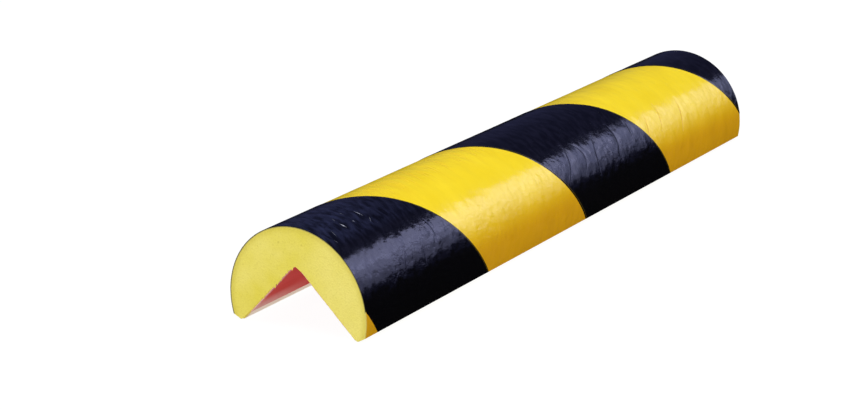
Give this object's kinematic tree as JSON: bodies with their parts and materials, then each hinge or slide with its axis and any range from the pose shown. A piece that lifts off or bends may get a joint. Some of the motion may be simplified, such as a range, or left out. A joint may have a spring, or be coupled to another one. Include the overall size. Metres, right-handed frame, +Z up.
{
  "type": "foam corner guard",
  "caption": "Self-adhesive foam corner guard with a round outside, a right-angled notch and a glossy yellow film that carries slanting black warning bands.",
  "frame": {"origin": "centre of the guard's footprint, on the plane that the tips of its two feet stand on", "axes": "+Y along the guard, away from the cut end that the picture shows, +Z up through the crown, +X to the right seen from that cut end"},
  "size_m": [0.04, 0.2, 0.026],
  "materials": {
    "foam": "cut polyurethane foam, matt with fine pores",
    "yellow_film": "glossy, softly creased",
    "black_print": "glossy print on the film, softly creased",
    "white_tape": "milky adhesive tape",
    "red_liner": "smooth peel-off film, glossy"
  },
  "bodies": {
    "root": {"foam_core": "foam", "cover_film": "yellow_film", "black_bands": "black_print", "tape_left": "white_tape", "tape_right": "white_tape", "liner_left": "red_liner", "liner_right": "red_liner"}
  },
  "joints": []
}
